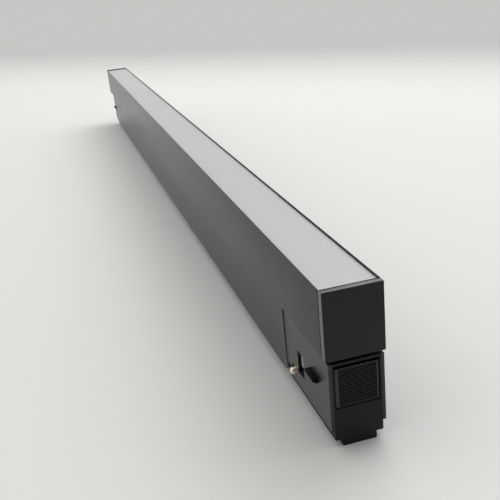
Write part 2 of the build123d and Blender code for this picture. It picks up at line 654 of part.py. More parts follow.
# ---------------------------------------------------------------- the whole object
def main():
    os.makedirs("parts", exist_ok=True)

    save("housing", make_housing())
    save("diffuser", make_diffuser())
    cap = make_end_cap()
    save("end_cap_near", cap)
    save("end_cap_far", to_far(cap))

    for number, start in enumerate(board_starts(), 1):
        save(f"led_board_{number}", make_board(start))
    save("led_packages", make_led_packages())
    save("board_connectors", make_board_connectors())
    save("board_links", make_board_links())
    save("board_screws", make_board_screws())

    save("gear_tray", make_gear_tray())
    save("driver_case", make_driver_case())
    save("driver_lid", make_driver_lid())
    save("driver_board", make_driver_board())
    save("driver_transformer", make_driver_transformer())
    save("driver_capacitors", make_driver_capacitors())
    save("driver_terminals", make_driver_terminals())
    save("driver_screws", make_driver_screws())
    save("mains_terminal", make_mains_terminal())
    save("contact_leads", make_contact_leads())
    save("mains_leads", make_mains_leads())
    save("output_leads", make_output_leads())
    save("lead_grommet", make_grommet())

    save("adapter_core_near", make_near_core())
    save("adapter_cover_near_front", make_near_front_cover())
    save("adapter_cover_near_rear", make_near_rear_cover())
    save("cover_screws_near", make_cover_screws(NEAR_COVER_SCREWS))
    save("release_slide_near", make_slide(NEAR_END))
    save("release_springs_near", make_release_springs(NEAR_END))
    save("lock_lug_near_front", make_lug(NEAR_END, -1))
    save("lock_lug_near_rear", make_lug(NEAR_END, 1))
    save("lug_spring_near", make_lug_spring(NEAR_END))

    save("contact_front", make_contact(-1))
    save("contact_rear", make_contact(1))
    save("contact_spring_front", make_contact_spring(-1))
    save("contact_spring_rear", make_contact_spring(1))
    save("circuit_selector", make_selector())
    save("selector_contact", make_selector_contact())
    save("earth_strip", make_earth_strip())

    save("adapter_core_far", to_far(make_far_core()))
    save("adapter_cover_far_front", to_far(adapter_cover(FAR_END, -1)))
    far_rear = cover_screw_holes(adapter_cover(FAR_END, 1), FAR_COVER_SCREWS, COVER_OUTER, 7.5)
    save("adapter_cover_far_rear", to_far(far_rear))
    save("cover_screws_far", to_far(make_cover_screws(FAR_COVER_SCREWS)))
    save("release_slide_far", to_far(make_slide(FAR_END)))
    save("release_springs_far", to_far(make_release_springs(FAR_END)))
    save("lock_lug_far_front", to_far(make_lug(FAR_END, -1)))
    save("lock_lug_far_rear", to_far(make_lug(FAR_END, 1)))
    save("lug_spring_far", to_far(make_lug_spring(FAR_END)))
    save("adapter_fixing_screws", make_fixing_screws())


main()
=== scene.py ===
# %% [markdown]
# A linear light bar, dressed for a studio render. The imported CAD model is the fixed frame: it says where
# every part is and how it moves. This script gives each part its finish, and rebuilds with more detail the
# parts that repeat something, such as ribs, light-emitting diodes and screws.

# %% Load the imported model
import json
import math

import bmesh
import bpy
from mathutils import Matrix, Quaternion, Vector


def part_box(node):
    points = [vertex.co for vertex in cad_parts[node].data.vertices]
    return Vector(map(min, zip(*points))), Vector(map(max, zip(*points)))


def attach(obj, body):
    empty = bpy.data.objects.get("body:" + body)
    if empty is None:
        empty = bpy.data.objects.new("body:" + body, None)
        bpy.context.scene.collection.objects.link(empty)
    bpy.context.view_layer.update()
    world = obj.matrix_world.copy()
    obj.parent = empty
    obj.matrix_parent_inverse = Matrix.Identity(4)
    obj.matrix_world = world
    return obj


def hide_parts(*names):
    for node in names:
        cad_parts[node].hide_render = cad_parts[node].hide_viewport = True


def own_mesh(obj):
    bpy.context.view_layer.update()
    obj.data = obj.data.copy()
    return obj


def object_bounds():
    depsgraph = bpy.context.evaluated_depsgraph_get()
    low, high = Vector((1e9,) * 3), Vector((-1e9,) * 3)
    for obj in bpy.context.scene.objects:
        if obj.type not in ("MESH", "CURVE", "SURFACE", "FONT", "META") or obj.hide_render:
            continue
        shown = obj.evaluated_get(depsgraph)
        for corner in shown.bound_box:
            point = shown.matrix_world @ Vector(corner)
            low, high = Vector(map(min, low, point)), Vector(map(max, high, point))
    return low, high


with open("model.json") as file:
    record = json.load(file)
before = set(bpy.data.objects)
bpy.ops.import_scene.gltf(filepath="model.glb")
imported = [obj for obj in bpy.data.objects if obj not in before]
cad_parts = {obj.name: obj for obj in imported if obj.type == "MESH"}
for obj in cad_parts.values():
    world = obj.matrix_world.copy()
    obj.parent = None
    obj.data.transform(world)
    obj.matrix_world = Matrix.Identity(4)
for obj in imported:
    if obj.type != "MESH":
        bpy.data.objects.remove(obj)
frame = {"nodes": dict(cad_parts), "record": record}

MM = 0.001
CAD_LOW, CAD_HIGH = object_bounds()
NODES = frame["nodes"]
RECORD = frame["record"]
BODY_OF = {node: body for body, nodes in RECORD["behaviour"]["bodies"].items() for node in nodes}
print("nodes", len(NODES), "box in mm", [round(v / MM, 1) for v in CAD_HIGH - CAD_LOW])

# %% [markdown]
# The camera comes first, because it decides what has to look best. The bar is seen along its length from just
# beyond its feed end, a little to the front and above. The camera is held slightly tilted, as a hand-placed
# product shot often is, so it is aimed with a heading and a pitch, and then rolled.

# %% Camera
CAMERA_PLACE = Vector((CAD_HIGH.x + 323.2 * MM, -133.6 * MM, CAD_HIGH.z + 161.9 * MM))
CAMERA_HEADING = math.radians(166.05)
CAMERA_PITCH = math.radians(-21.35)
CAMERA_ROLL = math.radians(-5.9)
LENS_MM = 52.2
SENSOR_MM = 36.0


def into_scene(name, data):
    """A new object for a mesh, light or camera, linked to the scene."""
    thing = bpy.data.objects.new(name, data)
    bpy.context.scene.collection.objects.link(thing)
    return thing


def aim(thing, place, sight, roll=0.0):
    """Stand a camera or light at a place, looking along sight."""
    thing.location = place
    thing.rotation_mode = "QUATERNION"
    thing.rotation_quaternion = sight.to_track_quat("-Z", "Y") @ Quaternion((0, 0, 1), roll)


def make_camera():
    data = bpy.data.cameras.new("camera")
    data.lens = LENS_MM
    data.sensor_width = SENSOR_MM
    data.clip_start = 0.01
    data.clip_end = 50.0
    camera = into_scene("camera", data)
    level = math.cos(CAMERA_PITCH)
    sight = Vector((level * math.cos(CAMERA_HEADING), level * math.sin(CAMERA_HEADING),
                    math.sin(CAMERA_PITCH)))
    aim(camera, CAMERA_PLACE, sight, CAMERA_ROLL)
    bpy.context.scene.camera = camera
    return camera


camera = make_camera()
print("camera stands at", [round(v, 3) for v in camera.location])

# %% [markdown]
# Every finish is a small node tree, and a few helpers keep the trees short. One turns a hex colour, as a
# paint chart gives it, into the linear numbers that light works in. One adds a node, sets its settings and
# links or fills its inputs. Others build what most finishes share: a drift between two tones, a gloss that
# varies with a pattern, and a relief of that pattern. Patterns read Object coordinates, which are metres in
# the bar's own frame, so a scale is worked out from a real size: a noise of scale s has features about 1 / s
# metres wide.

# %% Helpers for materials


def linear(hex_colour, alpha=1.0):
    """An sRGB hex colour as linear RGBA."""
    channels = [int(hex_colour[i:i + 2], 16) / 255 for i in (1, 3, 5)]
    return [c / 12.92 if c <= 0.04045 else ((c + 0.055) / 1.055) ** 2.4 for c in channels] + [alpha]


def add(tree, kind, inputs=None, **settings):
    """Add a node; inputs maps a socket's name or number to a value or to the socket that feeds it."""
    node = tree.nodes.new(kind)
    for name, value in settings.items():
        setattr(node, name, value)
    for key, value in (inputs or {}).items():
        if isinstance(value, bpy.types.NodeSocket):
            tree.links.new(value, node.inputs[key])
        else:
            node.inputs[key].default_value = value
    return node


def new_material(name, **sockets):
    """A material with a Principled shader whose constant sockets are set by name."""
    material = bpy.data.materials.new(name)
    material.use_nodes = True
    tree = material.node_tree
    shader = tree.nodes["Principled BSDF"]
    for key, value in sockets.items():
        shader.inputs[key.replace("_", " ")].default_value = value
    place = add(tree, "ShaderNodeTexCoord").outputs["Object"]
    return material, tree, shader, place


def link(tree, source, shader, socket):
    tree.links.new(source, shader.inputs[socket])


def per_mm(size_mm):
    """Noise scale whose features are size_mm wide, for Object coordinates in metres."""
    return 1000.0 / size_mm


def two_tones(tree, pattern, start, end, dark, light):
    """A colour that drifts between two hex tones as a pattern rises from start to end."""
    ramp = add(tree, "ShaderNodeValToRGB", {"Fac": pattern.outputs["Fac"]})
    for element, position, colour in zip(ramp.color_ramp.elements, (start, end), (dark, light)):
        element.position = position
        element.color = linear(colour)
    return ramp.outputs["Color"]


def varied_gloss(tree, pattern, shader, low, high):
    """Roughness that runs from low to high with the middle of a noise pattern's range."""
    gloss = add(tree, "ShaderNodeMapRange", {"Value": pattern.outputs["Fac"], "From Min": 0.3, "From Max": 0.7,
                                             "To Min": low, "To Max": high})
    link(tree, gloss.outputs["Result"], shader, "Roughness")


def shallow_relief(tree, pattern, shader, strength, depth_mm):
    """A bump of a pattern, depth_mm deep at full strength."""
    relief = add(tree, "ShaderNodeBump", {"Height": pattern.outputs["Fac"], "Strength": strength,
                                          "Distance": depth_mm * MM})
    link(tree, relief.outputs["Normal"], shader, "Normal")


def faces_lengthways(tree):
    """A mask that is 1 on faces that look along the bar, and 0 on its sides, top and underside."""
    normal = add(tree, "ShaderNodeNewGeometry").outputs["Normal"]
    split = add(tree, "ShaderNodeSeparateXYZ", {"Vector": normal})
    lengthways = add(tree, "ShaderNodeMath", {0: split.outputs["X"]}, operation="ABSOLUTE")
    square_on = add(tree, "ShaderNodeMath", {0: lengthways.outputs[0], 1: 0.6}, operation="GREATER_THAN")
    return square_on.outputs[0]


def mixed(tree, mask, first, second):
    return add(tree, "ShaderNodeMixRGB", {"Fac": mask, "Color1": first, "Color2": second}).outputs["Color"]


# %% [markdown]
# The housing and the gear tray are extruded aluminium, etched satin and then black anodised. The dye sits in
# the clear oxide, so the metal under it still mirrors softly, brighter at a glancing angle. The die leaves
# faint lines along the bar. They are about 0.2 mm apart, too fine for a picture this size, so they are drawn
# at 0.6 mm. The side walls are cut away over each adapter. The narrow cut edge there, where it looks along
# the bar, is painted pale: a painted highlight for the light that it catches. At each cap the last 1.5 mm of
# the housing is painted near black: painted shade in the joint with the cap.

# %% Black anodised aluminium
NOTCH_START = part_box("adapter_cover_near_front")[0].x
EDGE_HIGHLIGHT_REACH = 1.0 * MM
CAP_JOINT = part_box("housing")[1].x
JOINT_SHADE_REACH = 1.5 * MM


def anodised_aluminium():
    material, tree, shader, place = new_material(
        "anodised_aluminium_satin_black", Metallic=1.0, Coat_Weight=0.25, Coat_Roughness=0.3, Coat_IOR=1.6)
    stretched = add(tree, "ShaderNodeMapping", {"Vector": place, "Scale": (0.004, 1.0, 1.0)})
    lines = add(tree, "ShaderNodeTexNoise", {"Vector": stretched.outputs[0], "Scale": per_mm(0.6),
                                             "Detail": 3.0, "Roughness": 0.6})
    cloud = add(tree, "ShaderNodeTexNoise", {"Vector": place, "Scale": per_mm(60.0), "Detail": 2.0})
    dyed = two_tones(tree, cloud, 0.3, 0.7, "#3e3f42", "#434447")
    split = add(tree, "ShaderNodeSeparateXYZ", {"Vector": place})
    from_middle = add(tree, "ShaderNodeMath", {0: split.outputs["X"]}, operation="ABSOLUTE").outputs[0]
    at_notch = add(tree, "ShaderNodeMath", {0: from_middle, 1: NOTCH_START, 2: EDGE_HIGHLIGHT_REACH},
                   operation="COMPARE")
    cut = add(tree, "ShaderNodeMath", {0: at_notch.outputs[0], 1: faces_lengthways(tree)},
              operation="MULTIPLY")
    at_joint = add(tree, "ShaderNodeMath", {0: from_middle, 1: CAP_JOINT, 2: JOINT_SHADE_REACH},
                   operation="COMPARE")
    # The cut edge over each adapter is painted pale: a painted highlight.
    with_edge_highlight = mixed(tree, cut.outputs[0], dyed, linear("#b4b4b4"))
    # Within reach of each cap the housing is painted near black: painted shade of the joint.
    link(tree, mixed(tree, at_joint.outputs[0], with_edge_highlight, linear("#0a0a0b")), shader, "Base Color")
    varied_gloss(tree, lines, shader, 0.34, 0.42)
    shallow_relief(tree, lines, shader, 0.12, 0.02)
    return material


# %% [markdown]
# The caps, the adapter and its slide are injection moulded in black plastics. The tool is spark eroded, which
# gives a fine matt grain of about 0.1 mm. It is drawn at about 0.3 mm, so that it shows as a soft sheen. One
# function serves all the grades, because they differ only in colour, gloss, grain and how strongly they
# mirror. A side colour, where one is given, paints the sides of a part lighter than its end faces. It is a
# painted sheen, for the light that those sides catch. The caps and the adapter's covers have one, the covers
# a fainter one.

# %% Black moulded plastics


def moulded_plastic(name, dark, light, roughness, grain_mm, depth_mm, mirror=0.5, painted_side_sheen=None):
    material, tree, shader, place = new_material(name, IOR=1.57, Specular_IOR_Level=mirror)
    grain = add(tree, "ShaderNodeTexNoise", {"Vector": place, "Scale": per_mm(grain_mm), "Detail": 4.0,
                                             "Roughness": 0.6})
    flow = add(tree, "ShaderNodeTexNoise", {"Vector": place, "Scale": per_mm(14.0), "Detail": 3.0,
                                            "Distortion": 0.4})
    skin = two_tones(tree, flow, 0.3, 0.7, dark, light)
    # A painted sheen: faces that look across the bar are painted in the lighter side colour.
    if painted_side_sheen:
        skin = mixed(tree, faces_lengthways(tree), linear(painted_side_sheen), skin)
    link(tree, skin, shader, "Base Color")
    varied_gloss(tree, grain, shader, roughness - 0.05, roughness + 0.06)
    shallow_relief(tree, grain, shader, 0.5, depth_mm)
    return material


# %% [markdown]
# The diffuser is opal polycarbonate, extruded with a satin top. Light enters it, scatters on the white
# pigment and leaves a little further on, which is what Subsurface does. That gives the soft, even grey of a
# lamp that is switched off. A faint cloudiness keeps the long face from looking like paper.

# %% Opal diffuser


def opal_plastic():
    material, tree, shader, place = new_material(
        "opal_polycarbonate_satin", IOR=1.58, Specular_IOR_Level=0.3, Subsurface_Weight=0.35,
        Subsurface_Scale=2.0 * MM, Subsurface_Radius=(1.0, 0.95, 0.9))
    cloud = add(tree, "ShaderNodeTexNoise", {"Vector": place, "Scale": per_mm(45.0), "Detail": 2.0})
    link(tree, two_tones(tree, cloud, 0.25, 0.75, "#c4c4c4", "#c9c9c9"), shader, "Base Color")
    satin = add(tree, "ShaderNodeTexNoise", {"Vector": place, "Scale": per_mm(0.5), "Detail": 3.0})
    varied_gloss(tree, satin, shader, 0.42, 0.49)
    shallow_relief(tree, satin, shader, 0.1, 0.01)
    return material


# %% [markdown]
# The small metal parts share one recipe with different alloys: turned brass, phosphor bronze, zinc-plated
# steel and drawn spring wire. Real ones show fine tool or drawing marks and slight tarnish, so a stretched
# noise drives both the roughness and a shallow relief. A metal keeps the default IOR; its colour is its
# reflection.

# %% Small metal parts


def bare_metal(name, dark, light, roughness, mark_mm, stretch):
    material, tree, shader, place = new_material(name, Metallic=1.0)
    stretched = add(tree, "ShaderNodeMapping", {"Vector": place, "Scale": stretch})
    marks = add(tree, "ShaderNodeTexNoise", {"Vector": stretched.outputs[0], "Scale": per_mm(mark_mm),
                                             "Detail": 3.0})
    tarnish = add(tree, "ShaderNodeTexNoise", {"Vector": place, "Scale": per_mm(2.5), "Detail": 4.0})
    link(tree, two_tones(tree, tarnish, 0.3, 0.65, dark, light), shader, "Base Color")
    varied_gloss(tree, marks, shader, roughness - 0.06, roughness + 0.08)
    shallow_relief(tree, marks, shader, 0.25, 0.02)
    return material


# %% [markdown]
# Inside, the lamp is a board assembly. The light boards have an aluminium core under white solder mask, and
# the driver's board is green glass-epoxy. Copper tracks lift the mask by a few hundredths of a millimetre: a
# brick pattern stands for them, as bump and as a slightly different tint.

# %% Circuit boards


def circuit_board(name, mask, track, track_mm):
    material, tree, shader, place = new_material(name, IOR=1.5, Coat_Weight=0.2, Coat_Roughness=0.15)
    tracks = add(tree, "ShaderNodeTexBrick", {
        "Vector": place, "Color1": linear(mask), "Color2": linear(mask), "Mortar": linear(track), "Scale": 1.0,
        "Mortar Size": 0.4 * MM, "Mortar Smooth": 0.3, "Brick Width": 4 * track_mm * MM,
        "Row Height": track_mm * MM})
    link(tree, tracks.outputs["Color"], shader, "Base Color")
    weave = add(tree, "ShaderNodeTexNoise", {"Vector": place, "Scale": per_mm(0.4), "Detail": 2.0})
    varied_gloss(tree, weave, shader, 0.3, 0.4)
    shallow_relief(tree, tracks, shader, 0.4, 0.05)
    return material


# %% [markdown]
# Some parts are one material in bands. The mains leads differ by colour across the bar: brown for live, green
# and yellow for earth, blue for neutral. The output leads are black and red. The capacitors have a dark
# sleeve and a bare top. All are colour ramps with hard steps on one coordinate of the part.

# %% Banded parts


def banded_plastic(name, axis, low_mm, high_mm, steps, roughness):
    material, tree, shader, place = new_material(name, IOR=1.53)
    split = add(tree, "ShaderNodeSeparateXYZ", {"Vector": place})
    along = add(tree, "ShaderNodeMapRange", {"Value": split.outputs[axis], "From Min": low_mm * MM,
                                             "From Max": high_mm * MM})
    ramp = add(tree, "ShaderNodeValToRGB", {"Fac": along.outputs["Result"]})
    ramp.color_ramp.interpolation = "CONSTANT"
    bands = ramp.color_ramp.elements
    for i, (position, colour) in enumerate(steps):
        band = bands[i] if i < len(bands) else bands.new(position)
        band.position = position
        band.color = linear(colour)
    link(tree, ramp.outputs["Color"], shader, "Base Color")
    skin = add(tree, "ShaderNodeTexNoise", {"Vector": place, "Scale": per_mm(0.5), "Detail": 2.0})
    varied_gloss(tree, skin, shader, roughness - 0.05, roughness + 0.05)
    shallow_relief(tree, skin, shader, 0.2, 0.02)
    return material


# %% [markdown]
# With the recipes in place, each finish of the bar is made once and given to the parts that have it. A CAD
# part keeps its mesh: only its material slots are filled.

# %% Finishes of the bar
ANODISED = anodised_aluminium()
OPAL = opal_plastic()
# The caps' sides are painted lighter than their end faces: a painted sheen.
CAP_PLASTIC = moulded_plastic("moulded_polycarbonate_cap_black", "#0b0b0c", "#101011", 0.4, 0.3, 0.02,
                              mirror=0.28, painted_side_sheen="#666769")
CORE_PLASTIC = moulded_plastic("moulded_polycarbonate_core_black", "#070708", "#0b0b0c", 0.52, 0.3, 0.03,
                               mirror=0.25)
# The covers' sides are painted a little lighter than their ends: a fainter painted sheen.
COVER_PLASTIC = moulded_plastic("moulded_polycarbonate_cover_black", "#0b0b0c", "#0f0f10", 0.31, 0.25,
                                0.015, mirror=0.45, painted_side_sheen="#29292a")
SLIDE_PLASTIC = moulded_plastic("moulded_acetal_slide_black", "#0a0a0b", "#0f0f10", 0.3, 0.25, 0.01)
# The ribs are the slide's own acetal, painted lighter than the plate: a painted highlight on the crests.
RIB_HIGHLIGHT_PLASTIC = moulded_plastic("moulded_acetal_rib_polished_painted_highlight", "#1d1d1e", "#232324", 0.22, 0.25, 0.005)
LUG_PLASTIC = moulded_plastic("glass_filled_polyamide_black", "#020202", "#050505", 0.72, 0.35, 0.03,
                              mirror=0.15)
SELECTOR_PLASTIC = moulded_plastic("moulded_polyamide_grey", "#a9abad", "#b8babb", 0.45, 0.3, 0.02)
WHITE_PLASTIC = moulded_plastic("moulded_polyamide_white", "#d8d7d2", "#e2e1dc", 0.5, 0.3, 0.02)
RUBBER = moulded_plastic("moulded_rubber_black", "#141414", "#1b1b1b", 0.75, 0.4, 0.04)
FERRITE = moulded_plastic("sintered_ferrite", "#2b2b2d", "#37373a", 0.7, 0.5, 0.05)
BRASS = bare_metal("turned_brass_nickel_washed", "#fbf0da", "#fff8ea", 0.42, 0.25, (1.0, 6.0, 1.0))
BRONZE = bare_metal("phosphor_bronze_strip", "#b57850", "#cf9468", 0.3, 0.3, (0.1, 1.0, 1.0))
STEEL = bare_metal("zinc_plated_steel", "#9b9ea3", "#bfc2c6", 0.34, 0.4, (1.0, 1.0, 1.0))
WIRE_STEEL = bare_metal("drawn_spring_wire", "#a9abae", "#c4c6c8", 0.28, 0.2, (1.0, 1.0, 1.0))
LIGHT_BOARD = circuit_board("white_solder_mask", "#ecebe6", "#dcdad2", 5.0)
DRIVER_BOARD = circuit_board("green_glass_epoxy", "#1d5b36", "#2f7a4c", 2.5)
LEAD_SLEEVE = banded_plastic("lead_insulation", "Y", -9.0, 9.0,
                             [(0.0, "#5a3520"), (0.34, "#7d8f2a"), (0.67, "#2b5f9e")], 0.4)
OUTPUT_SLEEVE = banded_plastic("output_lead_insulation", "X", 0.0, 9.0,
                               [(0.0, "#1b1b1b"), (0.5, "#a3261f")], 0.4)
CAN_SLEEVE = banded_plastic("capacitor_sleeve", "Z", 17.3, 31.3,
                            [(0.0, "#1c2433"), (0.86, "#b9bcc0")], 0.35)

FINISHES = {
    ANODISED: ["housing", "gear_tray"],
    OPAL: ["diffuser"],
    CAP_PLASTIC: ["end_cap_near", "end_cap_far"],
    CORE_PLASTIC: ["adapter_core_near", "adapter_core_far"],
    COVER_PLASTIC: ["adapter_cover_near_front", "adapter_cover_near_rear", "adapter_cover_far_front",
                    "adapter_cover_far_rear"],
    SLIDE_PLASTIC: ["release_slide_near", "release_slide_far"],
    LUG_PLASTIC: ["lock_lug_near_front", "lock_lug_near_rear", "lock_lug_far_front", "lock_lug_far_rear"],
    SELECTOR_PLASTIC: ["circuit_selector"],
    WHITE_PLASTIC: ["board_connectors", "driver_case", "driver_lid", "driver_terminals", "mains_terminal"],
    RUBBER: ["lead_grommet"],
    FERRITE: ["driver_transformer"],
    BRASS: ["contact_front", "contact_rear", "selector_contact", "board_links"],
    BRONZE: ["earth_strip"],
    STEEL: ["board_screws", "driver_screws", "cover_screws_near", "cover_screws_far", "adapter_fixing_screws"],
    WIRE_STEEL: ["release_springs_near", "release_springs_far", "lug_spring_near", "lug_spring_far",
                 "contact_spring_front", "contact_spring_rear"],
    LIGHT_BOARD: ["led_board_1", "led_board_2", "led_board_3", "led_board_4", "led_packages"],
    DRIVER_BOARD: ["driver_board"],
    LEAD_SLEEVE: ["contact_leads", "mains_leads"],
    OUTPUT_SLEEVE: ["output_leads"],
    CAN_SLEEVE: ["driver_capacitors"],
}
for material, names in FINISHES.items():
    for name in names:
        NODES[name].data.materials.clear()
        NODES[name].data.materials.append(material)
unfinished = sorted(set(NODES) - {name for names in FINISHES.values() for name in names})
print("parts with no finish:", unfinished)

# %% [markdown]
# Sharp corners do not exist on real parts: an extrusion has a radius of a few tenths, and so has a moulding.
# A thin rounded edge also catches light and draws the joint lines. The CAD meshes are loose triangles, so
# each copy is merged and its flat faces are joined first, and then a Bevel modifier rounds its edges. The
# result is kept as a plain mesh that stands for the CAD node.

# %% Helpers that finish a piece
MERGE_WITHIN = 0.002 * MM
FLAT_BELOW = math.radians(0.5)         # faces that meet at less are one flat face
ROUND_ABOVE = math.radians(40)         # edges that turn by more are rounded
SMOOTH_BELOW = math.radians(35)        # and edges that turn by less are shaded smooth


def keep_result(thing, name):
    """Freeze an object's modifiers into a new plain object, and delete the first one."""
    seen = thing.evaluated_get(bpy.context.evaluated_depsgraph_get())
    mesh = bpy.data.meshes.new_from_object(seen)
    mesh.name = name
    bpy.data.objects.remove(thing)
    return into_scene(name, mesh)


def settle(piece, node):
    """A piece takes a CAD node's place and body, and the node is hidden."""
    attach(piece, BODY_OF[node])
    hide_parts(node)
    return piece


def smooth_by_angle(mesh):
    mesh.polygons.foreach_set("use_smooth", [True] * len(mesh.polygons))
    mesh.set_sharp_from_angle(angle=SMOOTH_BELOW)


def round_edges(thing, radius_mm):
    bevel = thing.modifiers.new("rounding", "BEVEL")
    bevel.width = radius_mm * MM
    bevel.segments = 2
    bevel.limit_method = "ANGLE"
    bevel.angle_limit = ROUND_ABOVE
    bevel.use_clamp_overlap = False


def softened(node, radius_mm):
    """A merged copy of a CAD node with rounded edges."""
    mesh = NODES[node].data.copy()
    work = bmesh.new()
    work.from_mesh(mesh)
    bmesh.ops.remove_doubles(work, verts=work.verts, dist=MERGE_WITHIN)
    bmesh.ops.dissolve_limit(work, angle_limit=FLAT_BELOW, verts=work.verts, edges=work.edges)
    work.to_mesh(mesh)
    work.free()
    copy = into_scene(node + "_copy", mesh)
    round_edges(copy, radius_mm)
    piece = keep_result(copy, node + "_softened")
    smooth_by_angle(piece.data)
    return settle(piece, node)


# %% Round the edges of the mouldings and the extrusion
ROUNDED = {                            # radii in mm
    "housing": 0.2, "end_cap_near": 0.25, "end_cap_far": 0.25, "gear_tray": 0.15,
    "adapter_core_near": 0.15, "adapter_core_far": 0.15,
    "lock_lug_near_front": 0.2, "lock_lug_near_rear": 0.2, "lock_lug_far_front": 0.2, "lock_lug_far_rear": 0.2,
    "driver_case": 0.3, "driver_lid": 0.3, "mains_terminal": 0.2,
}
for node, radius in ROUNDED.items():
    piece = softened(node, radius)
    print(piece.name, "faces", len(piece.data.polygons))

# %% [markdown]
# What repeats is made with Geometry Nodes. A tree describes one item and where its copies go, and named
# inputs hold the sizes, so one tree can serve several pieces. A small helper builds the empty tree with its
# inputs, and another runs a tree on a few starting points and keeps the result as a plain mesh.

# %% Helpers for Geometry Nodes


def new_tree(name, sockets):
    """An empty Geometry Nodes tree with named inputs: a list of (name, kind)."""
    tree = bpy.data.node_groups.new(name, "GeometryNodeTree")
    tree.is_modifier = True
    tree.interface.new_socket(name="Geometry", in_out="INPUT", socket_type="NodeSocketGeometry")
    for label, kind in sockets:
        tree.interface.new_socket(name=label, in_out="INPUT", socket_type="NodeSocket" + kind)
    tree.interface.new_socket(name="Geometry", in_out="OUTPUT", socket_type="NodeSocketGeometry")
    given = add(tree, "NodeGroupInput").outputs
    return tree, given


def end_tree(tree, geometry, material):
    """Every tree ends the same way: real geometry, one material."""
    real = add(tree, "GeometryNodeRealizeInstances", {"Geometry": geometry})
    painted = add(tree, "GeometryNodeSetMaterial", {"Geometry": real.outputs[0], "Material": material})
    add(tree, "NodeGroupOutput", {0: painted.outputs[0]})


def run_tree(name, tree, values, node, points=((0, 0, 0),)):
    """Run a tree on starting points, and keep its result as a plain mesh in a CAD node's place."""
    seed = bpy.data.meshes.new(name + "_seed")
    seed.from_pydata(points, [], [])
    maker = into_scene(name + "_maker", seed)
    modifier = maker.modifiers.new("maker", "NODES")
    modifier.node_group = tree
    for item in tree.interface.items_tree:
        if item.in_out == "INPUT" and item.name in values:
            modifier[item.identifier] = values[item.name]
    piece = keep_result(maker, name)
    smooth_by_angle(piece.data)
    settle(piece, node)
    corners = [Vector(v.co) for v in piece.data.vertices]
    size = [round((max(c[i] for c in corners) - min(c[i] for c in corners)) / MM, 2) for i in range(3)]
    print(name, "faces", len(piece.data.polygons), "size in mm", size)
    return piece


# %% [markdown]
# The thumb slide is a moulded plate with a shallow pocket full of horizontal ribs, so that a finger grips it.
# The plate is modelled as one closed shell with its pocket, and behind it the stem whose V-shaped top draws
# the lugs in. The ribs are a tree: a bar with a narrow crest, repeated down the pocket.

# %% The rib tree


def make_rib_tree():
    tree, given = new_tree("rib_rows", [
        ("Count", "Int"), ("First", "Vector"), ("Step", "Vector"), ("Length", "Float"), ("Depth", "Float"),
        ("Base", "Float"), ("Crest", "Float"), ("Turn", "Rotation"), ("Finish", "Material")])
    half, minus_half = (add(tree, "ShaderNodeMath", {0: given["Length"], 1: share}, operation="MULTIPLY")
                        for share in (0.5, -0.5))
    start, end = (add(tree, "ShaderNodeCombineXYZ", {"Z": z.outputs[0]}) for z in (minus_half, half))
    spine = add(tree, "GeometryNodeCurvePrimitiveLine", {"Start": start.outputs[0], "End": end.outputs[0]})
    section = add(tree, "GeometryNodeCurvePrimitiveQuadrilateral", {
        "Height": given["Depth"], "Bottom Width": given["Base"], "Top Width": given["Crest"], "Offset": 0.0},
        mode="TRAPEZOID")
    rib = add(tree, "GeometryNodeCurveToMesh", {"Curve": spine.outputs[0], "Profile Curve": section.outputs[0],
                                                "Fill Caps": True})
    row = add(tree, "GeometryNodeMeshLine", {"Count": given["Count"], "Start Location": given["First"],
                                             "Offset": given["Step"]})
    ribs = add(tree, "GeometryNodeInstanceOnPoints", {"Points": row.outputs[0], "Instance": rib.outputs[0],
                                                      "Rotation": given["Turn"]})
    end_tree(tree, ribs.outputs[0], given["Finish"])
    return tree


RIB_TREE = make_rib_tree()

# %% The slide's plate and stem
PLATE_THICK = 6.4 * MM
PLATE_HALF = 13.2 * MM
PLATE_TALL = 25.0 * MM
POCKET_Y = (-11.0 * MM, 12.1 * MM)
POCKET_EDGE = 0.75 * MM                # plate above and below the pocket
POCKET_DEEP = 1.4 * MM
SLIDE_ROUNDING_MM = 0.2
RIB_COUNT = 17
RIB_BASE = 0.7 * MM
RIB_CREST = 0.34 * MM
RIB_BELOW_FACE = 0.1 * MM              # the crests lie this far below the plate's face
RIB_INTO_WALL = 0.1 * MM
# Each turn lays a rib's length across the bar, with its crest outward.
RIB_TURNS = {1: Matrix(((0, 1, 0), (0, 0, 1), (1, 0, 0))).to_euler(),
             -1: Matrix(((0, -1, 0), (0, 0, -1), (1, 0, 0))).to_euler()}
# Stem section across the bar: to the side and above the slide's foot, in mm.
CAM_OUTLINE = [(-10.3, 0.0), (10.3, 0.0), (10.3, 7.35), (3.4, 3.9), (-3.4, 3.9), (-10.3, 7.35)]
STEM_LONG = 26.0 * MM
STEM_INTO_PLATE = 0.2 * MM
HOLE_ASIDE = 9.0 * MM
HOLE_INSET = 3.9 * MM
HOLE_RADIUS = 1.95 * MM
HOLE_DEEP = 10.5 * MM                  # below the plate's top
CUTTER_TALL = 15.0 * MM


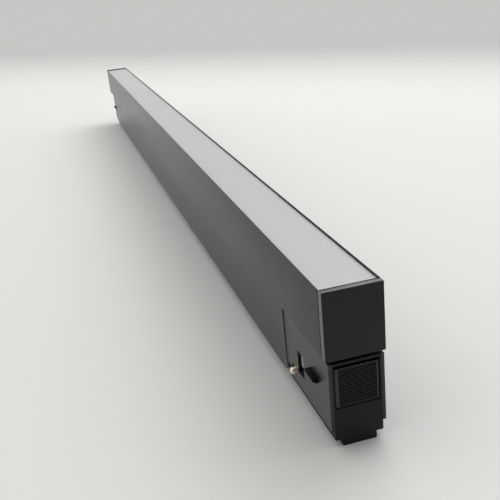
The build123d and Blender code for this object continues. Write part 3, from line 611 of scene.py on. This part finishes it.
def slide_shell(face, side, low, top):
    """Plate with a pocket in its face, and the stem behind it; side is 1 at the feed end, -1 at the other."""
    back, floor_x = face - side * PLATE_THICK, face - side * POCKET_DEEP
    bottom = top - PLATE_TALL
    (y0, y1), (z0, z1) = POCKET_Y, (bottom + POCKET_EDGE, top - POCKET_EDGE)
    outer = [(-PLATE_HALF, bottom), (PLATE_HALF, bottom), (PLATE_HALF, top), (-PLATE_HALF, top)]
    inner = [(y0, z0), (y1, z0), (y1, z1), (y0, z1)]
    rings = [[(back, *p) for p in outer], [(face, *p) for p in outer], [(face, *p) for p in inner],
             [(floor_x, *p) for p in inner]]
    work = bmesh.new()
    made = [[work.verts.new(p) for p in ring] for ring in rings]
    work.faces.new(made[0])
    work.faces.new(made[3])
    for near, far in zip(made, made[1:]):
        for i in range(4):
            work.faces.new((near[i], near[(i + 1) % 4], far[(i + 1) % 4], far[i]))
    stem_front = back + side * STEM_INTO_PLATE
    ends = [[work.verts.new((x, y * MM, low + z * MM)) for y, z in CAM_OUTLINE]
            for x in (stem_front - side * STEM_LONG, stem_front)]
    work.faces.new(ends[0])
    work.faces.new(ends[1])
    for i in range(len(CAM_OUTLINE)):
        j = (i + 1) % len(CAM_OUTLINE)
        work.faces.new((ends[0][i], ends[0][j], ends[1][j], ends[1][i]))
    bmesh.ops.recalc_face_normals(work, faces=work.faces)
    mesh = bpy.data.meshes.new("slide_shell")
    work.to_mesh(mesh)
    work.free()
    return mesh


def spring_holes(face, side, top):
    """Two upright pins that cut the spring holes into the plate's top."""
    work = bmesh.new()
    for y in (-HOLE_ASIDE, HOLE_ASIDE):
        place = Matrix.Translation((face - side * HOLE_INSET, y, top - HOLE_DEEP + CUTTER_TALL / 2))
        bmesh.ops.create_cone(work, cap_ends=True, segments=32, radius1=HOLE_RADIUS, radius2=HOLE_RADIUS,
                              depth=CUTTER_TALL, matrix=place)
    mesh = bpy.data.meshes.new("spring_holes")
    work.to_mesh(mesh)
    work.free()
    return mesh


def make_slide(node, side):
    low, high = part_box(node)
    face = high.x if side > 0 else low.x
    shell = into_scene(node + "_shell", slide_shell(face, side, low.z, high.z))
    shell.data.materials.append(SLIDE_PLASTIC)
    cutter = into_scene(node + "_cutter", spring_holes(face, side, high.z))
    cut = shell.modifiers.new("holes", "BOOLEAN")
    cut.object = cutter
    cut.solver = "EXACT"
    round_edges(shell, SLIDE_ROUNDING_MM)
    plate = settle(keep_result(shell, node + "_plate"), node)
    smooth_by_angle(plate.data)
    bpy.data.objects.remove(cutter)
    pitch = (PLATE_TALL - 2 * POCKET_EDGE) / RIB_COUNT
    first = Vector((face - side * (POCKET_DEEP + RIB_BELOW_FACE) / 2, sum(POCKET_Y) / 2,
                    high.z - POCKET_EDGE - pitch / 2))
    # The ribs take the lighter rib finish, which is a painted highlight.
    run_tree(node + "_ribs", RIB_TREE, {
        "Count": RIB_COUNT, "First": first, "Step": Vector((0, 0, -pitch)),
        "Length": POCKET_Y[1] - POCKET_Y[0] + 2 * RIB_INTO_WALL, "Depth": POCKET_DEEP - RIB_BELOW_FACE,
        "Base": RIB_BASE, "Crest": RIB_CREST, "Turn": RIB_TURNS[side], "Finish": RIB_HIGHLIGHT_PLASTIC}, node)


make_slide("release_slide_near", 1)
make_slide("release_slide_far", -1)

# %% [markdown]
# Each light board carries a row of light-emitting diodes: a white moulded cup with a shallow well of yellow
# phosphor. There are 96, so each is only a few dozen faces. The same tree makes the cups and, with a smaller
# size and its own finish, the phosphor in them.

# %% The tree for rows of small packages


def make_package_tree():
    tree, given = new_tree("package_rows", [
        ("Boards", "Int"), ("Board Step", "Vector"), ("Packages", "Int"), ("Package Step", "Vector"),
        ("First", "Vector"), ("Size", "Vector"), ("Rim", "Float"), ("Well", "Float"), ("Finish", "Material")])
    body = add(tree, "GeometryNodeMeshCube", {"Size": given["Size"]})
    upward = add(tree, "ShaderNodeSeparateXYZ", {"Vector": add(tree, "GeometryNodeInputNormal").outputs[0]})
    is_top = add(tree, "FunctionNodeCompare", {"A": upward.outputs["Z"], "B": 0.5}, operation="GREATER_THAN")
    ledge = add(tree, "GeometryNodeExtrudeMesh", {"Mesh": body.outputs["Mesh"], "Selection": is_top.outputs[0],
                                                  "Offset Scale": 0.0}, mode="FACES")
    lip = add(tree, "GeometryNodeScaleElements", {"Geometry": ledge.outputs["Mesh"],
                                                  "Selection": ledge.outputs["Top"], "Scale": given["Rim"]})
    well = add(tree, "GeometryNodeExtrudeMesh", {"Mesh": lip.outputs[0], "Selection": ledge.outputs["Top"],
                                                 "Offset Scale": given["Well"]}, mode="FACES")
    boards = add(tree, "GeometryNodeMeshLine", {"Count": given["Boards"], "Start Location": given["First"],
                                                "Offset": given["Board Step"]})
    row = add(tree, "GeometryNodeMeshLine", {"Count": given["Packages"], "Offset": given["Package Step"]})
    rows = add(tree, "GeometryNodeInstanceOnPoints", {"Points": boards.outputs[0], "Instance": row.outputs[0]})
    places = add(tree, "GeometryNodeRealizeInstances", {"Geometry": rows.outputs[0]})
    copies = add(tree, "GeometryNodeInstanceOnPoints", {"Points": places.outputs[0],
                                                        "Instance": well.outputs["Mesh"]})
    end_tree(tree, copies.outputs[0], given["Finish"])
    return tree


PACKAGE_TREE = make_package_tree()

# %% Rows of packages and their phosphor
PHOSPHOR = moulded_plastic("yellow_phosphor_in_silicone", "#e3c04a", "#efd268", 0.35, 0.2, 0.01)
CUP = moulded_plastic("moulded_white_reflector", "#e9e9e6", "#f1f1ee", 0.4, 0.2, 0.01)
BOARD_COUNT = 4
PACKAGES_PER_BOARD = 24
CUP_LONG = 3.5 * MM
CUP_RIM = 0.78                         # width of the well over that of the cup
CUP_WELL = 0.35 * MM
FILL_SHARE = 0.76                      # width of the phosphor over that of the cup
FILL_THICK = 0.3 * MM
FILL_BELOW_RIM = 0.25 * MM             # from the cup's top down to the middle of the phosphor
FILL_CROWN = (0.6, 0.04 * MM)          # its raised middle: share of its width, and height
board_low, board_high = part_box("led_board_1")
board_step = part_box("led_board_2")[0].x - board_low.x
package_step = (board_high.x - board_low.x) / PACKAGES_PER_BOARD
package_low, package_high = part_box("led_packages")
cup_size = Vector((CUP_LONG, package_high.y - package_low.y, package_high.z - package_low.z))
first_x = board_low.x + package_step / 2
shared = {"Boards": BOARD_COUNT, "Board Step": Vector((board_step, 0, 0)), "Packages": PACKAGES_PER_BOARD,
          "Package Step": Vector((package_step, 0, 0))}
run_tree("led_cups", PACKAGE_TREE, {
    **shared, "First": Vector((first_x, 0, package_low.z + cup_size.z / 2)), "Size": cup_size, "Rim": CUP_RIM,
    "Well": -CUP_WELL, "Finish": CUP}, "led_packages")
fill_size = Vector((cup_size.x * FILL_SHARE, cup_size.y * FILL_SHARE, FILL_THICK))
run_tree("led_phosphor", PACKAGE_TREE, {
    **shared, "First": Vector((first_x, 0, package_high.z - FILL_BELOW_RIM)), "Size": fill_size,
    "Rim": FILL_CROWN[0], "Well": FILL_CROWN[1], "Finish": PHOSPHOR}, "led_packages")

# %% [markdown]
# The screws are standard: a head with a hexagon socket and a threaded shank. One tree turns a head, cuts the
# socket with a Boolean, winds the thread as a spiral and puts a copy on each starting point. The starting
# points are the screw seats, and a named rotation points the screws the right way.

# %% The screw tree
THREAD_RIDGE = 0.16 * MM


def make_screw_tree():
    """Heads point up from the starting point; flat heads and rods are lowered by the two drops."""
    tree, given = new_tree("socket_screws", [
        ("Head Base", "Float"), ("Head Top", "Float"), ("Head Height", "Float"), ("Head Drop", "Vector"),
        ("Shank Radius", "Float"), ("Shank Length", "Float"), ("Shank Drop", "Vector"), ("Turns", "Float"),
        ("Socket Radius", "Float"), ("Turn", "Rotation"), ("Finish", "Material")])
    head = add(tree, "GeometryNodeMeshCone", {"Vertices": 24, "Radius Bottom": given["Head Base"],
                                              "Radius Top": given["Head Top"], "Depth": given["Head Height"]})
    socket = add(tree, "GeometryNodeMeshCylinder", {"Vertices": 6, "Radius": given["Socket Radius"],
                                                    "Depth": given["Head Height"]})
    socket_middle = add(tree, "ShaderNodeMath", {0: given["Head Height"], 1: 0.9}, operation="MULTIPLY")
    lift = add(tree, "ShaderNodeCombineXYZ", {"Z": socket_middle.outputs[0]})
    raised = add(tree, "GeometryNodeTransform", {"Geometry": socket.outputs["Mesh"],
                                                 "Translation": lift.outputs[0]})
    cut = add(tree, "GeometryNodeMeshBoolean", {0: head.outputs["Mesh"], 1: raised.outputs[0]},
              operation="DIFFERENCE", solver="EXACT")
    placed_head = add(tree, "GeometryNodeTransform", {"Geometry": cut.outputs["Mesh"],
                                                      "Translation": given["Head Drop"]})
    shank = add(tree, "GeometryNodeMeshCylinder", {"Vertices": 20, "Radius": given["Shank Radius"],
                                                   "Depth": given["Shank Length"]})
    wind = add(tree, "GeometryNodeCurveSpiral", {
        "Resolution": 12, "Rotations": given["Turns"], "Start Radius": given["Shank Radius"],
        "End Radius": given["Shank Radius"], "Height": given["Shank Length"]})
    ridge = add(tree, "GeometryNodeCurvePrimitiveCircle", {"Resolution": 3, "Radius": THREAD_RIDGE})
    thread = add(tree, "GeometryNodeCurveToMesh", {"Curve": wind.outputs[0], "Profile Curve": ridge.outputs[0],
                                                   "Fill Caps": True})
    half_down = add(tree, "ShaderNodeMath", {0: given["Shank Length"], 1: -0.5}, operation="MULTIPLY")
    down = add(tree, "ShaderNodeCombineXYZ", {"Z": half_down.outputs[0]})
    thread_down = add(tree, "GeometryNodeTransform", {"Geometry": thread.outputs[0],
                                                      "Translation": down.outputs[0]})
    rod = add(tree, "GeometryNodeJoinGeometry")
    tree.links.new(shank.outputs["Mesh"], rod.inputs[0])
    tree.links.new(thread_down.outputs[0], rod.inputs[0])
    placed_rod = add(tree, "GeometryNodeTransform", {"Geometry": rod.outputs[0],
                                                     "Translation": given["Shank Drop"]})
    screw = add(tree, "GeometryNodeJoinGeometry")
    tree.links.new(placed_head.outputs[0], screw.inputs[0])
    tree.links.new(placed_rod.outputs[0], screw.inputs[0])
    copies = add(tree, "GeometryNodeInstanceOnPoints", {"Points": given["Geometry"],
                                                        "Instance": screw.outputs[0],
                                                        "Rotation": given["Turn"]})
    end_tree(tree, copies.outputs[0], given["Finish"])
    return tree


SCREW_TREE = make_screw_tree()

# %% Where the screws are and which way they point
HEAD_TURNS = {name: Matrix.Rotation(angle, 3, "X").to_euler()
              for name, angle in (("up", 0.0), ("down", math.pi), ("rear", -math.pi / 2))}
THREAD_PITCH = 1.0 * MM
CROWN_SHARE = 0.82                     # top radius of a round head over its base radius
SOCKET_SHARE = 0.42                    # socket radius over head radius


def island_boxes(node):
    """The box of each separate solid in a CAD node, left to right."""
    work = bmesh.new()
    work.from_mesh(NODES[node].data)
    bmesh.ops.remove_doubles(work, verts=work.verts, dist=MERGE_WITHIN)
    left, boxes = set(work.verts), []
    while left:
        front, island = [left.pop()], []
        while front:
            vert = front.pop()
            island.append(vert.co.copy())
            for edge in vert.link_edges:
                other = edge.other_vert(vert)
                if other in left:
                    left.remove(other)
                    front.append(other)
        boxes.append(tuple(Vector([pick(c[i] for c in island) for i in range(3)]) for pick in (min, max)))
    work.free()
    return sorted(boxes, key=lambda pair: (round(pair[0].x, 4), pair[0].y))


def make_screws(node, heads, flat, head_mm, head_height_mm, shank_mm):
    """Screws in the places of a CAD node's solids, each as long as its solid. Sizes are radii and a height."""
    head_height = head_height_mm * MM
    seats, length = [], 0.0
    for low, high in island_boxes(node):
        middle = (low + high) / 2
        if heads == "up":
            seats.append((middle.x, middle.y, high.z - (0 if flat else head_height)))
        elif heads == "down":
            seats.append((middle.x, middle.y, low.z + head_height))
        else:
            seats.append((middle.x, high.y, middle.z))
        length = high.y - low.y if heads == "rear" else high.z - low.z
    shank = length - head_height
    drop = -head_height if flat else 0.0
    run_tree(node + "_threaded", SCREW_TREE, {
        "Head Base": (shank_mm if flat else head_mm) * MM,
        "Head Top": (head_mm if flat else head_mm * CROWN_SHARE) * MM,
        "Head Height": head_height, "Head Drop": Vector((0, 0, drop)),
        "Shank Radius": shank_mm * MM, "Shank Length": shank,
        "Shank Drop": Vector((0, 0, drop - shank / 2)), "Turns": shank / THREAD_PITCH,
        "Socket Radius": SOCKET_SHARE * head_mm * MM, "Turn": HEAD_TURNS[heads], "Finish": STEEL}, node, seats)


make_screws("board_screws", "up", False, 2.8, 1.9, 1.3)
make_screws("driver_screws", "down", False, 2.8, 1.5, 1.3)
make_screws("cover_screws_near", "rear", True, 2.3, 1.2, 1.05)
make_screws("cover_screws_far", "rear", True, 2.3, 1.2, 1.05)
make_screws("adapter_fixing_screws", "up", True, 2.8, 1.6, 1.3)

# %% [markdown]
# The coil springs shorten when the part they push moves in. Each gets its own copy of its CAD coils, which
# keeps the rest shape: it is not flattened. For each, the point that stays on the spring's own axis is worked
# out, and the length left after its joint's travel is printed. A lug spring pushes a lug each way, so that
# point is its middle, and the travel is that of both lugs.

# %% The springs, and how far they would shorten
CONTACT_TRAVEL = 1.5 * MM
LUG_TRAVEL = 3.6 * MM
SLIDE_TRAVEL = 1.8 * MM


def shortening_spring(node, axis, fixed_share, travel):
    """Copied coils at rest, along axis 1 (Y) or 2 (Z), with the point that stays from the low end, 0, to the
    high, 1.
    """
    low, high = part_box(node)
    piece = settle(into_scene(node + "_coils", NODES[node].data.copy()), node)
    length = high[axis] - low[axis]
    anchor = (low + high) / 2
    anchor[axis] = low[axis] + fixed_share * length
    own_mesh(piece)
    print(piece.name, "length in mm", round(length / MM, 2), "shortens to", round((length - travel) / MM, 2))


for end in ("near", "far"):
    shortening_spring("lug_spring_" + end, 1, 0.5, 2 * LUG_TRAVEL)
    shortening_spring("release_springs_" + end, 2, 1.0, SLIDE_TRAVEL)
shortening_spring("contact_spring_front", 1, 1.0, CONTACT_TRAVEL)
shortening_spring("contact_spring_rear", 1, 0.0, CONTACT_TRAVEL)

# %% [markdown]
# The stage is a pale tabletop that fades into a pale grey room. Its far edge is laid out along the line where
# it looks level to the camera, and it turns clear over the last stretch, so no hard edge shows. The room is
# the world's colour: bright overhead and behind the bar, and darker on the camera's side, as in a studio
# where only the back is lit. One large soft light stands behind the bar, on its rear side, and lays a soft
# shadow in front.

# %% Stage and light
EDGE_SIDEWAYS = Vector((-0.614, 0.789, 0.0))     # across the table's far edge, away from the camera
EDGE_FADE = (0.55, 1.45)                         # metres along that line over which the table turns clear
TABLE_REACH = 7.0
ROOM_OVERHEAD = 2.1                              # brightness overhead, as a multiple of the horizon's
ROOM_FRONT = 0.12                                # and on the camera's side
KEY_PLACE = Vector((-1.2, 1.4, 1.9))
KEY_TARGET = Vector((-0.1, 0.0, 0.0))
KEY_SIZE = (2.4, 1.6)
KEY_POWER = 22.0


def table_paint():
    material, tree, shader, place = new_material("matt_table_paint", Roughness=0.6, IOR=1.4)
    fibre = add(tree, "ShaderNodeTexNoise", {"Vector": place, "Scale": 2.5, "Detail": 1.0})
    paint = mixed(tree, fibre.outputs["Fac"], linear("#eeeeed"), linear("#f0f0ef"))
    link(tree, paint, shader, "Base Color")
    away = add(tree, "ShaderNodeVectorMath", {0: place, 1: EDGE_SIDEWAYS}, operation="DOT_PRODUCT")
    solid = add(tree, "ShaderNodeMapRange", {"Value": away.outputs["Value"], "From Min": EDGE_FADE[0],
                                             "From Max": EDGE_FADE[1], "To Min": 1.0, "To Max": 0.0},
                interpolation_type="SMOOTHSTEP")
    link(tree, solid.outputs["Result"], shader, "Alpha")
    return material


def make_table():
    data = bpy.data.meshes.new("table")
    corners = [(x * TABLE_REACH, y * TABLE_REACH, 0) for x, y in ((-1, -1), (1, -1), (1, 1), (-1, 1))]
    data.from_pydata(corners, [], [(0, 1, 2, 3)])
    data.materials.append(table_paint())
    table = into_scene("table", data)


def make_room():
    """World light: a tone for the horizon behind the bar, a brighter sky and a darker camera side."""
    world = bpy.data.worlds.new("room")
    world.use_nodes = True
    tree = world.node_tree
    way = add(tree, "ShaderNodeTexCoord").outputs["Generated"]
    split = add(tree, "ShaderNodeSeparateXYZ", {"Vector": way})
    sky = add(tree, "ShaderNodeMapRange", {"Value": split.outputs["Z"], "From Min": 0.05, "From Max": 0.75,
                                           "To Min": 1.0, "To Max": ROOM_OVERHEAD})
    front = add(tree, "ShaderNodeMapRange", {"Value": split.outputs["X"], "From Min": -0.3, "From Max": 0.75,
                                             "To Min": 1.0, "To Max": ROOM_FRONT},
                interpolation_type="SMOOTHSTEP")
    level = add(tree, "ShaderNodeMath", {0: sky.outputs["Result"], 1: front.outputs["Result"]},
                operation="MULTIPLY")
    background = tree.nodes["Background"]
    background.inputs["Color"].default_value = linear("#c7c6c4")
    tree.links.new(level.outputs[0], background.inputs["Strength"])
    bpy.context.scene.world = world


def make_key_light():
    data = bpy.data.lights.new("key", "AREA")
    data.shape = "RECTANGLE"
    data.size, data.size_y = KEY_SIZE
    data.energy = KEY_POWER
    light = into_scene("key", data)
    aim(light, KEY_PLACE, KEY_TARGET - KEY_PLACE)
    return light


make_table()
make_room()
key = make_key_light()
bpy.context.scene.view_settings.view_transform = "Standard"
print("lights:", key.name, "and the room")
